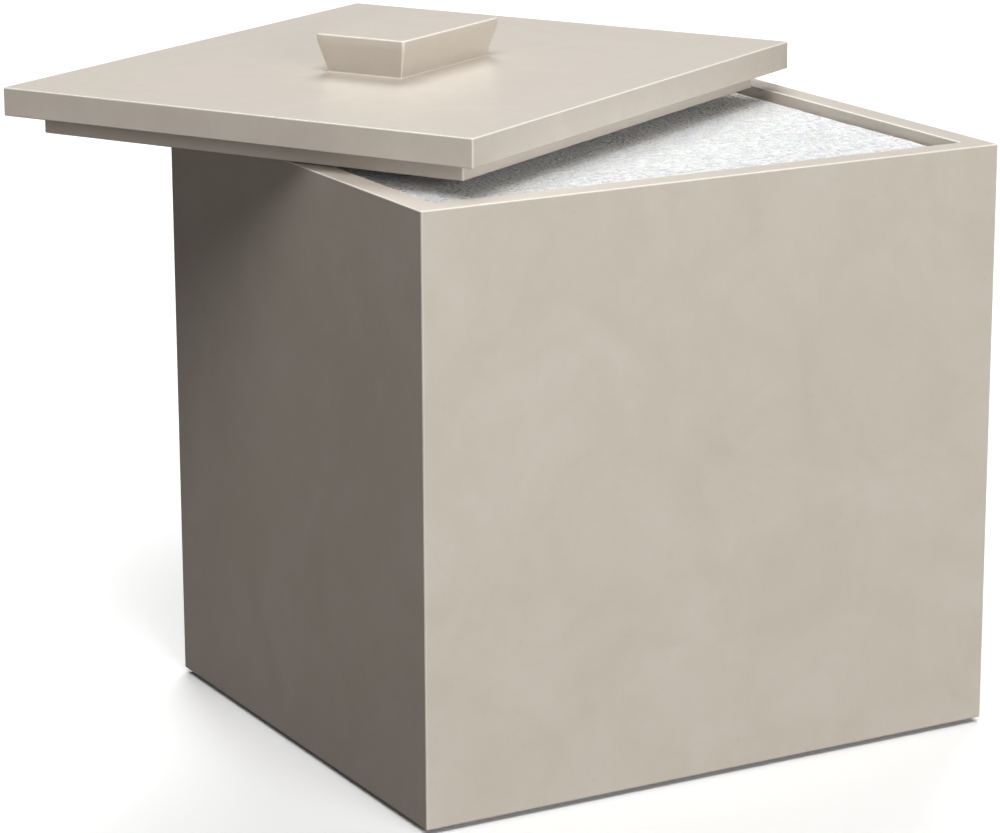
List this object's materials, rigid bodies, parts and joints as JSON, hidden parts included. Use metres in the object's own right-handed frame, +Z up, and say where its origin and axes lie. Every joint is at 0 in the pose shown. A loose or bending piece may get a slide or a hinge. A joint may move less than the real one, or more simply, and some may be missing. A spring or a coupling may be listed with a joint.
{
  "type": "lidded towel box",
  "caption": "Square-edged lacquered box for folded disposable towels, with a loose flat lid laid askew and a small tapered knob.",
  "frame": {"origin": "middle of the felt pad's underside, where the box stands", "axes": "+Z up, +X to the right along the front, +Y to the back"},
  "size_m": [0.2168, 0.2227, 0.1805],
  "materials": {
    "lacquer": "satin taupe lacquer on fibreboard, faintly mottled",
    "lid_lacquer": "satin taupe lacquer on fibreboard, faintly mottled",
    "felt": "pressed taupe felt",
    "steel": "zinc-plated steel",
    "towel": "white embossed nonwoven fibre"
  },
  "bodies": {
    "box": {"front_panel": "lacquer", "right_panel": "lacquer", "back_panel": "lacquer", "left_panel": "lacquer", "bottom_panel": "lacquer", "base_felt": "felt", "towel_01": "towel", "towel_02": "towel", "towel_03": "towel", "towel_04": "towel", "towel_05": "towel", "towel_06": "towel", "towel_07": "towel", "towel_08": "towel", "towel_09": "towel", "towel_10": "towel", "towel_11": "towel", "towel_12": "towel", "towel_13": "towel", "towel_14": "towel", "towel_15": "towel", "towel_16": "towel", "towel_17": "towel", "towel_18": "towel", "towel_19": "towel", "towel_20": "towel", "towel_21": "towel", "towel_22": "towel", "towel_23": "towel", "towel_24": "towel", "towel_25": "towel", "towel_26": "towel", "towel_27": "towel", "towel_28": "towel", "towel_29": "towel", "towel_30": "towel", "towel_31": "towel", "towel_32": "towel", "towel_33": "towel", "towel_34": "towel", "towel_35": "towel", "towel_36": "towel", "towel_37": "towel", "towel_38": "towel", "towel_39": "towel", "towel_40": "towel", "towel_41": "towel", "towel_42": "towel", "towel_43": "towel", "towel_44": "towel", "towel_45": "towel", "towel_46": "towel", "towel_47": "towel", "towel_48": "towel"},
    "lid": {"lid_board": "lid_lacquer", "lid_plate": "lid_lacquer", "lid_knob": "lid_lacquer", "knob_screw_left": "steel", "knob_screw_right": "steel"}
  },
  "joints": [
    {"name": "lid_lift", "type": "slide", "parent": "box", "child": "lid", "axis": [0, 0, 1], "range_m": [0, 0.15]}
  ]
}
